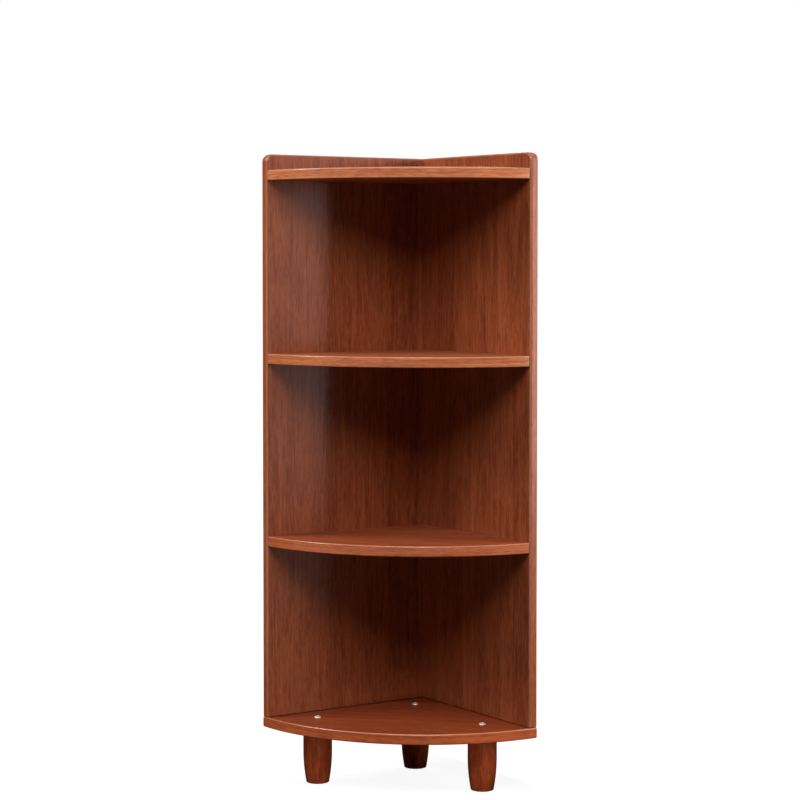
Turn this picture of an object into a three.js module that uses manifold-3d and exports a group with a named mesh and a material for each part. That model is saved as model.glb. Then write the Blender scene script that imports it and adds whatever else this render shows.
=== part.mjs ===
// A quarter-round corner shelf unit in stained wood. Two side panels meet in a right angle at the back
// corner and stand on a quarter-round bottom board. Three shelves are held between the panels by
// countersunk screws and dowels, and three turned legs are bolted under the bottom board.
//
// Lengths are in millimetres, with +Z up. Inside the group called unit the origin is on the floor under
// the back corner, +X runs out along the right-hand wall and -Y out along the left-hand wall. The
// exported group moves that origin to the middle of the footprint.

import * as THREE from "three";
import { mergeVertices } from "three/addons/utils/BufferGeometryUtils.js";
import Module from "manifold-3d";

const wasm = await Module();
wasm.setup();

// The boards
const unitHeight = 957; // from the floor to the top of the panels
const sideLength = 300; // each side of the footprint, along its wall
const panelThickness = 15;
const shelfThickness = 16;
const baseThickness = 16;
const galleryRise = 24; // how far the panels stand up above the top shelf
const panelEdgeRound = 4; // round-over along the front and the top of a panel
const panelCornerRound = 12; // the top front corner of a panel, seen from its side
const panelFootEase = 1.2; // small chamfer round the lower end of a panel
const shelfEdgeRound = 2;
const baseEdgeRound = 2.2;
const frontCornerRound = 2.6; // corner between a curved front and a straight side, seen from above

// The legs
const legHeight = 83;
const legTopRadius = 22;
const legFootRadius = 17.5;
const legStraight = 33; // upper stretch of a leg, before it draws in towards the floor
const legFootEase = 1.4;
const legWallInset = 55; // leg axis from the wall beside it
const legFrontInset = 65; // axis of a front leg from the front end of its side

// The leg bolts and the threaded inserts that they screw into
const boltRadius = 3;
const boltLength = 40;
const boltHeadRadius = 5.4;
const boltHeadHeight = 2.2; // the low domed head stands on the face of the bottom board
const boltHeadRim = 0.6; // upright rim under the dome
const boltSocketRadius = 2.3;
const boltSocketDepth = 1.5;
const boltTipTaper = 1;
const boltTipRoom = 2; // empty depth under the tip of a bolt
const insertRadius = 5;
const insertLength = 18;
const insertFlangeWidth = 1.5; // how far the flange stands out from the sleeve
const insertFlangeThickness = 1.2;

// The joint screws and dowels
const screwRadius = 2.5;
const screwLength = 50;
const screwHeadRadius = 5;
const screwHeadSink = 0.4;
const screwSocketRadius = 2;
const screwSocketDepth = 2.4;
const screwTipTaper = 1.5;
const headRim = 0.5; // upright rim of a countersunk head, over its cone
const screwSetIn = 50; // screw from each end of its joint
const dowelRadius = 4;
const dowelLength = 30;
const dowelSeat = 10; // depth of a dowel in the board that the screws pass through
const dowelEndTaper = 1;
const dowelSetIn = 90; // dowel from each end of its joint
const cornerDowelRise = 60; // dowel of the back corner above the screw of its compartment

// Clearances and cuts
const seamGap = 0.05; // hairline between two boards that are drawn together
const fitGap = 0.3; // between a fastener and the wall of its hole
const cutOverrun = 2; // how far a cutting body reaches past the face that it opens
const roundLimitShare = 0.45; // most of a board's thickness that one rounded arris may take

// Facets
const frontSteps = 32;
const cornerSteps = 3;
const roundSteps = 3;
const taperSteps = 5;
const legSides = 24;
const boltSides = 16;
const screwSides = 10;
const hexSides = 6;

// The shelves, from the lowest up, each with the word that tells the height of the compartment under it
const shelves = [
  { shelf: "lower_shelf", height: "low" },
  { shelf: "upper_shelf", height: "middle" },
  { shelf: "top_shelf", height: "high" },
];

// What follows from the sizes. The compartments under the shelves are all of one height.
const baseTop = legHeight + baseThickness;
const panelFoot = baseTop + seamGap;
const panelHeight = unitHeight - panelFoot;
const shelfPitch = (unitHeight - galleryRise - baseTop) / shelves.length;
const shelfUnderside = (tier) => baseTop + (tier + 1) * shelfPitch - shelfThickness;
const insertFlangeRadius = insertRadius + insertFlangeWidth;

const wood = new THREE.MeshStandardMaterial({ color: 0x9a5233, roughness: 0.42, metalness: 0 });
const legWood = new THREE.MeshStandardMaterial({ color: 0x93492b, roughness: 0.4, metalness: 0 });
const beech = new THREE.MeshStandardMaterial({ color: 0xd8b88a, roughness: 0.8, metalness: 0 });
const steel = new THREE.MeshStandardMaterial({ color: 0xc9c9cc, roughness: 0.35, metalness: 1 });
const zinc = new THREE.MeshStandardMaterial({ color: 0xb9b48f, roughness: 0.5, metalness: 1 });

const exported = new THREE.Group();
const unit = new THREE.Group();
unit.position.set(-sideLength / 2, sideLength / 2, 0);
exported.add(unit);

// Solids and geometries

function toSolid(geometry) {
  const bare = geometry.clone();
  bare.deleteAttribute("normal");
  bare.deleteAttribute("uv");
  const welded = mergeVertices(bare);
  const corners = welded.index.array;
  const faces = [];
  for (let i = 0; i < corners.length; i += 3) {
    const [a, b, c] = corners.subarray(i, i + 3);
    if (a !== b && b !== c && c !== a) faces.push(a, b, c);
  }
  const vertProperties = new Float32Array(welded.getAttribute("position").array);
  return new wasm.Manifold(new wasm.Mesh({ numProp: 3, vertProperties, triVerts: new Uint32Array(faces) }));
}

function toGeometry(solid) {
  const mesh = solid.getMesh();
  const geometry = new THREE.BufferGeometry();
  geometry.setAttribute("position", new THREE.BufferAttribute(mesh.vertProperties, 3));
  geometry.setIndex(new THREE.BufferAttribute(mesh.triVerts, 1));
  geometry.computeVertexNormals();
  return geometry;
}

function addPiece(name, material, geometry, position, turn) {
  const mesh = new THREE.Mesh(geometry, material);
  mesh.name = name;
  mesh.position.copy(position);
  if (turn) mesh.quaternion.copy(turn);
  unit.add(mesh);
  return mesh;
}

// Takes the tools, which are given in the frame of the unit, out of a board that is in its place.
function drill(board, tools) {
  board.updateMatrix();
  const toBoard = board.matrix.clone().invert();
  let solid = toSolid(board.geometry);
  for (const tool of tools) solid = solid.subtract(toSolid(tool.clone().applyMatrix4(toBoard)));
  board.geometry = toGeometry(solid);
}

// Outlines

function arcPoints(centreX, centreY, radius, from, to, steps) {
  const points = [];
  for (let i = 0; i <= steps; i += 1) {
    const angle = from + ((to - from) * i) / steps;
    points.push(new THREE.Vector2(centreX + radius * Math.cos(angle), centreY + radius * Math.sin(angle)));
  }
  return points;
}

// A quarter disc about the back corner, seen from above. Its two straight sides keep the inset from the
// walls, and its two front corners are rounded.
function quarterOutline(radius, inset) {
  const side = inset + frontCornerRound;
  const reach = Math.sqrt((radius - frontCornerRound) ** 2 - side ** 2);
  const lean = Math.atan2(side, reach);
  return new THREE.Shape([
    new THREE.Vector2(inset, -inset),
    ...arcPoints(side, -reach, frontCornerRound, -Math.PI, lean - Math.PI / 2, cornerSteps),
    ...arcPoints(0, 0, radius, lean - Math.PI / 2, -lean, frontSteps).slice(1, -1),
    ...arcPoints(reach, -side, frontCornerRound, -lean, Math.PI / 2, cornerSteps),
  ]);
}

// The heart of the same board, short of its front, where the edges beside the panels stay square.
function heartOutline(radius, inset) {
  const lean = Math.asin(inset / radius);
  return new THREE.Shape([
    new THREE.Vector2(inset, -inset),
    ...arcPoints(0, 0, radius, lean - Math.PI / 2, -lean, frontSteps),
  ]);
}

// A board with both arrises of its outline rounded, lying from z = 0 upwards.
function roundedBoard(shape, thickness, edgeRound) {
  const round = Math.min(edgeRound, thickness * roundLimitShare);
  const geometry = new THREE.ExtrudeGeometry(shape, {
    depth: thickness - 2 * round,
    bevelEnabled: true,
    bevelThickness: round,
    bevelSize: round,
    bevelOffset: -round,
    bevelSegments: roundSteps,
  });
  return geometry.translate(0, 0, round);
}

// Fasteners, each with its axis on +Y and the face that it goes in at near y = 0

// Half section of a countersunk screw. With a gap and an open top it is the section of its hole.
function screwProfile(gap, openTop) {
  const foot = -screwLength - gap;
  const tip = [
    new THREE.Vector2(screwRadius - screwTipTaper, foot),
    new THREE.Vector2(screwRadius, foot + screwTipTaper),
  ];
  const holeEnd = [new THREE.Vector2(screwRadius + gap, foot)];
  return [
    new THREE.Vector2(0, foot),
    ...(gap > 0 ? holeEnd : tip),
    new THREE.Vector2(screwRadius + gap, screwRadius - screwHeadRadius - headRim - gap),
    new THREE.Vector2(screwHeadRadius + gap, -headRim - gap),
    new THREE.Vector2(screwHeadRadius + gap, openTop),
    new THREE.Vector2(0, openTop),
  ];
}

// Half section of a leg bolt, with the underside of its domed head at y = 0.
function boltProfile() {
  const points = [
    new THREE.Vector2(0, -boltLength),
    new THREE.Vector2(boltRadius - boltTipTaper, -boltLength),
    new THREE.Vector2(boltRadius, boltTipTaper - boltLength),
    new THREE.Vector2(boltRadius, 0),
    new THREE.Vector2(boltHeadRadius, 0),
  ];
  for (let i = 0; i < roundSteps; i += 1) {
    const angle = (Math.PI / 2) * (i / roundSteps);
    const rise = (boltHeadHeight - boltHeadRim) * Math.sin(angle);
    points.push(new THREE.Vector2(boltHeadRadius * Math.cos(angle), boltHeadRim + rise));
  }
  points.push(new THREE.Vector2(0, boltHeadHeight));
  return points;
}

// A turned fastener with a hexagon socket that is sunk from the given height.
function socketed(profile, sides, socketRadius, socketDepth, height) {
  const body = new THREE.LatheGeometry(profile, sides);
  const socket = new THREE.CylinderGeometry(socketRadius, socketRadius, 2 * socketDepth, hexSides);
  return toGeometry(toSolid(body).subtract(toSolid(socket.translate(0, height, 0))));
}

function boltHole() {
  const radius = boltRadius + fitGap;
  const hole = new THREE.CylinderGeometry(radius, radius, boltLength + cutOverrun, boltSides);
  return hole.translate(0, (cutOverrun - boltLength) / 2, 0);
}

function dowelGeometry() {
  const half = dowelLength / 2;
  const profile = [
    new THREE.Vector2(0, -half),
    new THREE.Vector2(dowelRadius - dowelEndTaper, -half),
    new THREE.Vector2(dowelRadius, dowelEndTaper - half),
    new THREE.Vector2(dowelRadius, half - dowelEndTaper),
    new THREE.Vector2(dowelRadius - dowelEndTaper, half),
    new THREE.Vector2(0, half),
  ];
  return new THREE.LatheGeometry(profile, screwSides);
}

function dowelHole() {
  const radius = dowelRadius + fitGap;
  return new THREE.CylinderGeometry(radius, radius, dowelLength + 2 * fitGap, screwSides);
}

// The sink is the depth of a fastener's origin under the face at its entry. A bolt head stands on that face.
const fasteners = {
  screw: {
    material: steel,
    piece: () => socketed(screwProfile(0, 0), screwSides, screwSocketRadius, screwSocketDepth, 0),
    hole: () => new THREE.LatheGeometry(screwProfile(fitGap, screwHeadSink + cutOverrun), screwSides),
    sink: () => screwHeadSink,
  },
  dowel: {
    material: beech,
    piece: dowelGeometry,
    hole: dowelHole,
    sink: (outerThickness) => outerThickness + dowelLength / 2 - dowelSeat,
  },
  bolt: {
    material: steel,
    piece: () => socketed(boltProfile(), boltSides, boltSocketRadius, boltSocketDepth, boltHeadHeight),
    hole: boltHole,
    sink: () => -seamGap,
  },
};

const leftward = new THREE.Vector3(-1, 0, 0);
const backward = new THREE.Vector3(0, 1, 0);
const upward = new THREE.Vector3(0, 0, 1);
const downward = new THREE.Vector3(0, 0, -1);

// The joints. A fastener goes in at the entry, a point on the outer face of the outer board, and ends in
// the inner board. Outward is the way out of the face at the entry.

const thicknesses = { left_panel: panelThickness, right_panel: panelThickness, bottom_board: baseThickness };
const joints = [];

function join(kind, name, outer, inner, outward, entry) {
  const depth = fasteners[kind].sink(thicknesses[outer]);
  const origin = new THREE.Vector3(...entry).addScaledVector(outward, -depth);
  const turn = new THREE.Quaternion().setFromUnitVectors(new THREE.Vector3(0, 1, 0), outward);
  joints.push({ kind, name, boards: [outer, inner], origin, turn });
}

function holesIn(boardName) {
  const crossing = joints.filter(({ boards }) => boards.includes(boardName));
  return crossing.map(({ kind, origin, turn }) => {
    const tool = fasteners[kind].hole().applyQuaternion(turn);
    return tool.translate(origin.x, origin.y, origin.z);
  });
}

// Places along a joint that runs from the back corner to the front, measured from the wall corner.
const setIns = { screw: screwSetIn, dowel: dowelSetIn };
const places = [];
for (const kind of ["screw", "dowel"]) {
  places.push({ kind, end: "back", at: panelThickness + setIns[kind] });
  places.push({ kind, end: "front", at: sideLength - setIns[kind] });
}

for (const [tier, { shelf, height }] of shelves.entries()) {
  const middle = shelfUnderside(tier) + shelfThickness / 2;
  for (const { kind, end, at } of places) {
    join(kind, `${shelf}_left_${kind}_${end}`, "left_panel", shelf, leftward, [0, -at, middle]);
    join(kind, `${shelf}_right_${kind}_${end}`, "right_panel", shelf, backward, [at, 0, middle]);
  }
  const level = shelfUnderside(tier) - (shelfPitch - shelfThickness) / 2;
  const edge = -panelThickness / 2;
  join("screw", `corner_screw_${height}`, "left_panel", "right_panel", leftward, [0, edge, level]);
  join("dowel", `corner_dowel_${height}`, "left_panel", "right_panel", leftward, [0, edge, level + cornerDowelRise]);
}

for (const { kind, end, at } of places) {
  const core = panelThickness / 2;
  join(kind, `base_left_${kind}_${end}`, "bottom_board", "left_panel", downward, [core, -at, legHeight]);
  join(kind, `base_right_${kind}_${end}`, "bottom_board", "right_panel", downward, [at, -core, legHeight]);
}

const legs = [
  { side: "left", x: legWallInset, y: legFrontInset - sideLength },
  { side: "right", x: sideLength - legFrontInset, y: -legWallInset },
  { side: "back", x: legWallInset, y: -legWallInset },
];

for (const { side, x, y } of legs) {
  join("bolt", `${side}_leg_bolt`, "bottom_board", `${side}_leg`, upward, [x, y, baseTop]);
}

// The side panels

// A panel in its own sheet, with x from the back end to the front, y up and z through the thickness. Its
// side outline has the rounded front and top. It is cut to its end profile, which is square at the back
// and chamfered round the foot.
function panelGeometry(length) {
  const sideOutline = new THREE.Shape([
    new THREE.Vector2(-panelEdgeRound - cutOverrun, -cutOverrun),
    new THREE.Vector2(length - panelFootEase - cutOverrun, -cutOverrun),
    new THREE.Vector2(length, panelFootEase),
    ...arcPoints(
      length - panelCornerRound,
      panelHeight - panelCornerRound,
      panelCornerRound,
      0,
      Math.PI / 2,
      2 * cornerSteps,
    ),
    new THREE.Vector2(-panelEdgeRound - cutOverrun, panelHeight),
  ]);
  const endProfile = new THREE.Shape([
    new THREE.Vector2(panelFootEase, 0),
    new THREE.Vector2(panelThickness - panelFootEase, 0),
    new THREE.Vector2(panelThickness + cutOverrun, panelFootEase + cutOverrun),
    new THREE.Vector2(panelThickness + cutOverrun, panelHeight + cutOverrun),
    new THREE.Vector2(-cutOverrun, panelHeight + cutOverrun),
    new THREE.Vector2(-cutOverrun, panelFootEase + cutOverrun),
  ]);
  const keep = new THREE.ExtrudeGeometry(endProfile, { depth: length + cutOverrun, bevelEnabled: false });
  keep.rotateY(Math.PI / 2).translate(0, 0, panelThickness);
  const rounded = roundedBoard(sideOutline, panelThickness, panelEdgeRound);
  return toGeometry(toSolid(rounded).intersect(toSolid(keep)));
}

// The unit's directions that the sheet's x, y and z take.
function turnTo(x, y, z) {
  return new THREE.Quaternion().setFromRotationMatrix(new THREE.Matrix4().makeBasis(x, y, z));
}

const frontward = backward.clone().negate();
const rightward = leftward.clone().negate();
const rightPanelBack = panelThickness + seamGap;

const leftPanel = addPiece(
  "left_panel",
  wood,
  panelGeometry(sideLength),
  new THREE.Vector3(panelThickness, 0, panelFoot),
  turnTo(frontward, upward, leftward),
);
const rightPanel = addPiece(
  "right_panel",
  wood,
  panelGeometry(sideLength - rightPanelBack),
  new THREE.Vector3(rightPanelBack, 0, panelFoot),
  turnTo(rightward, upward, frontward),
);
drill(leftPanel, holesIn("left_panel"));
drill(rightPanel, holesIn("right_panel"));

// The shelves and the bottom board

function shelfGeometry() {
  const inset = panelThickness + seamGap;
  const rounded = roundedBoard(quarterOutline(sideLength, inset), shelfThickness, shelfEdgeRound);
  const heartRadius = sideLength - frontCornerRound - shelfEdgeRound;
  const heart = new THREE.ExtrudeGeometry(heartOutline(heartRadius, inset), {
    depth: shelfThickness,
    bevelEnabled: false,
  });
  return toGeometry(toSolid(rounded).add(toSolid(heart)));
}

for (const [tier, { shelf }] of shelves.entries()) {
  const board = addPiece(shelf, wood, shelfGeometry(), new THREE.Vector3(0, 0, shelfUnderside(tier)));
  drill(board, holesIn(shelf));
}

const bottomBoard = addPiece(
  "bottom_board",
  wood,
  roundedBoard(quarterOutline(sideLength, 0), baseThickness, baseEdgeRound),
  new THREE.Vector3(0, 0, legHeight),
);
drill(bottomBoard, holesIn("bottom_board"));

// The turned legs, with their axis on +Y until they are stood up

const legTop = legHeight - seamGap;
const insertTop = legTop - fitGap;
const boltTip = baseTop + seamGap - boltLength;

function legProfile() {
  const points = [
    new THREE.Vector2(0, 0),
    ...arcPoints(legFootRadius - legFootEase, legFootEase, legFootEase, -Math.PI / 2, 0, roundSteps),
  ];
  const taper = legHeight - legStraight - legFootEase;
  for (let i = 1; i <= taperSteps; i += 1) {
    const left = 1 - i / taperSteps;
    const drawnIn = (legTopRadius - legFootRadius) * left ** 2;
    points.push(new THREE.Vector2(legTopRadius - drawnIn, legFootEase + taper * (1 - left)));
  }
  const flangeSeat = insertTop - insertFlangeThickness - fitGap;
  const sleeveEnd = insertTop - insertLength - fitGap;
  points.push(
    new THREE.Vector2(legTopRadius, legTop),
    new THREE.Vector2(insertFlangeRadius + fitGap, legTop),
    new THREE.Vector2(insertFlangeRadius + fitGap, flangeSeat),
    new THREE.Vector2(insertRadius + fitGap, flangeSeat),
    new THREE.Vector2(insertRadius + fitGap, sleeveEnd),
    new THREE.Vector2(boltRadius + fitGap, sleeveEnd),
    new THREE.Vector2(boltRadius + fitGap, boltTip - boltTipRoom),
    new THREE.Vector2(0, boltTip - boltTipRoom),
  );
  return points;
}

// Half section of the insert, with its flange at y = 0, closed on itself round the bore.
function insertProfile() {
  const bore = boltRadius + fitGap;
  return [
    new THREE.Vector2(bore, -insertLength),
    new THREE.Vector2(insertRadius, -insertLength),
    new THREE.Vector2(insertRadius, -insertFlangeThickness),
    new THREE.Vector2(insertFlangeRadius, -insertFlangeThickness),
    new THREE.Vector2(insertFlangeRadius, 0),
    new THREE.Vector2(bore, 0),
    new THREE.Vector2(bore, -insertLength),
  ];
}

const stoodUp = new THREE.Quaternion().setFromUnitVectors(new THREE.Vector3(0, 1, 0), upward);

for (const { side, x, y } of legs) {
  const leg = new THREE.LatheGeometry(legProfile(), legSides);
  const insert = new THREE.LatheGeometry(insertProfile(), boltSides);
  addPiece(`${side}_leg`, legWood, leg, new THREE.Vector3(x, y, 0), stoodUp);
  addPiece(`${side}_leg_insert`, zinc, insert, new THREE.Vector3(x, y, insertTop), stoodUp);
}

// The screws, dowels and bolts

for (const { kind, name, origin, turn } of joints) {
  addPiece(name, fasteners[kind].material, fasteners[kind].piece(), origin, turn);
}

export default exported;
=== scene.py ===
# %% [markdown]
# # A corner shelf unit in stained wood
# This lesson dresses a quarter-round corner shelf unit. Its construction is settled: where every board,
# leg, screw and dowel sits, and how large it is. What is left is how it looks: boards with properly
# rounded arrises, a reddish-brown stain with the grain running the right way, a lacquer that shines on
# every rounded edge, and bolts of bright steel. Lengths are in metres, with +Z up.

import math
from collections import namedtuple

import bmesh
import bpy
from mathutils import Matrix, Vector


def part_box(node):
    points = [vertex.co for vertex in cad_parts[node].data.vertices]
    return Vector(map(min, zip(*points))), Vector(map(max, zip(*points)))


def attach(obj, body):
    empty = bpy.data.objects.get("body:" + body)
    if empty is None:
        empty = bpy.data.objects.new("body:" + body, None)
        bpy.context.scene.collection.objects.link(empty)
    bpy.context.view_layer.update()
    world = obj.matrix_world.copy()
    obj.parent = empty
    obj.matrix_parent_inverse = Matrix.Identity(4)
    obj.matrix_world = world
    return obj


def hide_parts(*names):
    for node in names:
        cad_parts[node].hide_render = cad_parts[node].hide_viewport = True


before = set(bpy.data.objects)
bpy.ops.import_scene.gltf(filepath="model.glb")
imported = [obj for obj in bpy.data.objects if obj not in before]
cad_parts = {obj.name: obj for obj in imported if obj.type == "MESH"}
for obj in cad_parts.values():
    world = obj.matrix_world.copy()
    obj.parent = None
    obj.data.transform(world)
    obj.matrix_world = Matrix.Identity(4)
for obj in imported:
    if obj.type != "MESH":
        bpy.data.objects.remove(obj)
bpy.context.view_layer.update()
scene = bpy.context.scene
MM = 0.001
print("construction:", len(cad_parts), "pieces")

# %% [markdown]
# ## Measures
# Every place is read from the construction, so that a board stays where it was built. The unit stands in a
# room corner: one panel runs along the left-hand wall, the plane of lowest X, and one along the right-hand
# wall, the plane of highest Y. The two meet in the back corner.

# %% Read the main measures
left_low, left_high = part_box("left_panel")
right_low, right_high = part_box("right_panel")
base_low, base_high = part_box("bottom_board")
shelf_low, shelf_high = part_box("lower_shelf")

CORNER = Vector((left_low.x, right_high.y, 0))  # on the floor
SIDE = base_high.x - base_low.x  # each straight side of the footprint
PANEL_THICKNESS = left_high.x - left_low.x
PANEL_HEIGHT = left_high.z - left_low.z
BASE_THICKNESS = base_high.z - base_low.z
SHELF_THICKNESS = shelf_high.z - shelf_low.z
SEAM = right_low.x - left_high.x  # hairline between two boards
UNIT_MIDDLE = (0, 0, 0.5)
print("side", round(SIDE, 4), "panels", round(PANEL_THICKNESS, 4), "shelves", round(SHELF_THICKNESS, 4))

# %% [markdown]
# ## Directions
# Boards, grain and fasteners all need directions. Each gets its name once, as a maker who stands in front
# of the unit would say it.

# %% Name the directions
UPWARD, DOWNWARD = Vector((0, 0, 1)), Vector((0, 0, -1))
LEFTWARD, BACKWARD = Vector((-1, 0, 0)), Vector((0, 1, 0))  # from the unit to its two walls
OUT_RIGHT = Vector((1, 0, 0))  # from the corner along the right-hand wall
OUT_LEFT = Vector((0, -1, 0))  # from the corner along the left-hand wall
CHORD = (OUT_RIGHT - OUT_LEFT).normalized()  # from the left end of a curved front to its right end
FORWARD = (OUT_RIGHT + OUT_LEFT).normalized()  # from the back corner to the middle of the front
print("forward:", [round(part, 3) for part in FORWARD])

# %% [markdown]
# ## Camera
# The photograph was taken from a little below the top shelf, so the lower shelves show their upper faces
# and the top shelf doesn't. A long lens keeps the two panels almost parallel, and it is shifted to centre
# the unit, because a tilt would make them lean together.

# %% Set up the camera
CAMERA_PLACE = (2.7794, -1.8455, 0.7964)
CAMERA_DOWN = math.radians(2.24)
CAMERA_TURN = math.radians(56.369)
CAMERA_LENS = 99.95  # millimetres
SENSOR_WIDTH = 36  # millimetres
CAMERA_SHIFT = (-0.0003, -0.0659)  # shares of the sensor's width


def new_object(name, data):
    """An object that stands in the scene."""
    made = bpy.data.objects.new(name, data)
    scene.collection.objects.link(made)
    return made


camera_data = bpy.data.cameras.new("photo_camera")
camera_data.lens = CAMERA_LENS
camera_data.sensor_width = SENSOR_WIDTH
camera_data.shift_x, camera_data.shift_y = CAMERA_SHIFT
camera = new_object("photo_camera", camera_data)
camera.location = CAMERA_PLACE
camera.rotation_euler = (math.pi / 2 - CAMERA_DOWN, 0, CAMERA_TURN)
scene.camera = camera
print("camera", round((camera.location - Vector(UNIT_MIDDLE)).length, 3), "m from the unit")

# %% [markdown]
# ## A little helper for node trees
# The white of the studio, the wood and the screws are all made by node trees. Each step of a tree could be
# typed out as a node and its links, but then the idea drowns in the typing. A bench that makes a node,
# sets its numbers and joins its inputs keeps each step on one line, and what a node gives as a number can
# be added and multiplied like any other number.

# %% Helpers for node trees


class Number:
    """A number that a node gives."""

    def __init__(self, bench, socket):
        self.bench, self.socket = bench, socket

    def __add__(self, other):
        return self.bench.math("ADD", self, other)

    def __sub__(self, other):
        return self.bench.math("SUBTRACT", self, other)

    def __rsub__(self, other):
        return self.bench.math("SUBTRACT", other, self)

    def __mul__(self, other):
        return self.bench.math("MULTIPLY", self, other)

    def __truediv__(self, other):
        return self.bench.math("DIVIDE", self, other)


class Bench:
    """A node tree with a short way to add and join nodes."""

    def __init__(self, tree):
        self.tree = tree

    def put(self, socket, value):
        """Joins an input to what a node gives, or sets it to a plain value."""
        if isinstance(value, Number):
            value = value.socket
        if isinstance(value, bpy.types.NodeSocket):
            self.tree.links.new(value, socket)
        else:
            socket.default_value = value

    def add(self, kind, inputs=None, **settings):
        node = self.tree.nodes.new(kind)
        for name, value in settings.items():
            setattr(node, name, value)
        for key, value in (inputs or {}).items():
            self.put(node.inputs[key], value)
        return node

    def math(self, operation, *values):
        node = self.add("ShaderNodeMath", dict(enumerate(values)), operation=operation)
        return Number(self, node.outputs[0])

    def ramp(self, value, low, high, first=0.0, last=1.0):
        """The first value below low, the last one above high, and a soft step between."""
        node = self.add(
            "ShaderNodeMapRange",
            {"Value": value, "From Min": low, "From Max": high, "To Min": first, "To Max": last},
            interpolation_type="SMOOTHSTEP",
        )
        return Number(self, node.outputs[0])

    def mix(self, factor, first, second):
        """A number between two others."""
        node = self.add("ShaderNodeMix", {0: factor, 2: first, 3: second}, data_type="FLOAT")
        return Number(self, node.outputs[0])

    def blend(self, factor, first, second, how="MIX"):
        """A colour between two others, or the second laid over the first in another way."""
        inputs = {0: factor, 6: first, 7: second}
        return self.add("ShaderNodeMix", inputs, data_type="RGBA", blend_type=how).outputs[2]

    def vector(self, x, y, z):
        return self.add("ShaderNodeCombineXYZ", {0: x, 1: y, 2: z}).outputs[0]

    def parts(self, kind, value):
        """The three numbers of a vector or a colour."""
        return [Number(self, output) for output in self.add(kind, {0: value}).outputs[:3]]

    def place(self):
        """The place of a point, in the object's own coordinates."""
        return self.add("ShaderNodeTexCoord").outputs["Object"]

    def along(self, place, direction):
        """How far a place lies along a direction."""
        node = self.add("ShaderNodeVectorMath", {0: place, 1: tuple(direction)}, operation="DOT_PRODUCT")
        return Number(self, node.outputs["Value"])

    def mark(self, name):
        """A number that is stored on the surface."""
        return Number(self, self.add("ShaderNodeAttribute", attribute_name=name).outputs["Fac"])

    def noise(self, place, detail, scale=1.0, roughness=0.5, shuffle=None):
        """Noise between 0 and 1. Each value of shuffle gives another noise."""
        inputs = {"Vector": place, "Scale": scale, "Detail": detail, "Roughness": roughness}
        if shuffle is None:
            node = self.add("ShaderNodeTexNoise", inputs)
        else:
            node = self.add("ShaderNodeTexNoise", {**inputs, "W": shuffle}, noise_dimensions="4D")
        return Number(self, node.outputs["Fac"])

    def bump(self, height, strength, distance):
        node = self.add("ShaderNodeBump", {"Height": height, "Strength": strength, "Distance": distance})
        return node.outputs[0]

    def surface(self, inputs):
        """Ends a material in a principled surface with these inputs."""
        shader = self.add("ShaderNodeBsdfPrincipled", inputs)
        self.add("ShaderNodeOutputMaterial", {"Surface": shader.outputs[0]})


def new_material(name):
    """An empty material, and the bench to build it on."""
    material = bpy.data.materials.new(name)
    material.use_nodes = True
    material.node_tree.nodes.clear()
    return material, Bench(material.node_tree)


print("bench ready")

# %% [markdown]
# ## Studio
# The unit stands on a plain pale floor in a white studio. The main softbox hangs high in front, so each
# shelf shades the deep corner under it. A tall softbox to the right and a little behind pales the arrises
# that face it, one on the left keeps the left panel's edge from going dark, and one lights the back for
# whoever walks round. A small lamp with a narrow beam stands low in front and reaches only the legs, which
# the bottom board keeps from the high lamps.
#
# A white world could give the white background, but it would also wash out every shade. So the white that
# the camera sees is there for camera, mirror and glass rays only, and adds no light to the wood.

# %% Light the unit
WHITE = (1, 1, 1, 1)
AMBIENT = (1.0, 0.96, 0.93, 1)
AMBIENT_STRENGTH = 0.03

scene.view_settings.view_transform = "Standard"


def rays_that_see_white(bench):
    """A value of 1 for camera, mirror and glass rays, and 0 for the light that falls on things."""
    ray = bench.add("ShaderNodeLightPath").outputs
    seen = bench.math("MAXIMUM", ray["Is Camera Ray"], ray["Is Glossy Ray"])
    return bench.math("MAXIMUM", seen, ray["Is Transmission Ray"])


world = bpy.data.worlds.new("studio")
world.use_nodes = True
world.node_tree.nodes.clear()
scene.world = world
sky = Bench(world.node_tree)
ambient = sky.add("ShaderNodeBackground", {"Color": AMBIENT, "Strength": AMBIENT_STRENGTH})
backdrop = sky.add("ShaderNodeBackground", {"Color": WHITE, "Strength": 1.0})
either = sky.add(
    "ShaderNodeMixShader", {0: rays_that_see_white(sky), 1: ambient.outputs[0], 2: backdrop.outputs[0]}
)
sky.add("ShaderNodeOutputWorld", {"Surface": either.outputs[0]})


def softbox(name, place, width, height, power, target=UNIT_MIDDLE, spread=180):
    """A rectangular lamp at a place, facing a target. A small spread, in degrees, narrows its beam."""
    data = bpy.data.lights.new(name, "AREA")
    data.shape = "RECTANGLE"
    data.size = width
    data.size_y = height
    data.energy = power
    data.spread = math.radians(spread)
    lamp = new_object(name, data)
    lamp.location = place
    lamp.rotation_euler = (Vector(target) - Vector(place)).to_track_quat("-Z", "Y").to_euler()
    lamp.visible_camera = False


LEG_MIDDLE = 0.045  # height of the leg lamp, halfway up the legs
# Name, place, width, height and power in watts
softbox("key_lamp", (1.44, -1.14, 2.15), 1.6, 1.12, 42)
softbox("side_lamp", (2.05, 2.15, 1.00), 1.6, 1.8, 70)
softbox("left_lamp", (-1.15, -2.15, 2.30), 1.0, 1.0, 54)
softbox("back_lamp", (-1.84, 1.84, 2.00), 1.2, 1.2, 40)
softbox("leg_lamp", (1.15, -0.77, LEG_MIDDLE), 0.5, 0.05, 0.040, target=(0, 0, LEG_MIDDLE), spread=7)
print("lamps:", [o.name for o in scene.objects if o.type == "LIGHT"])

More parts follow.
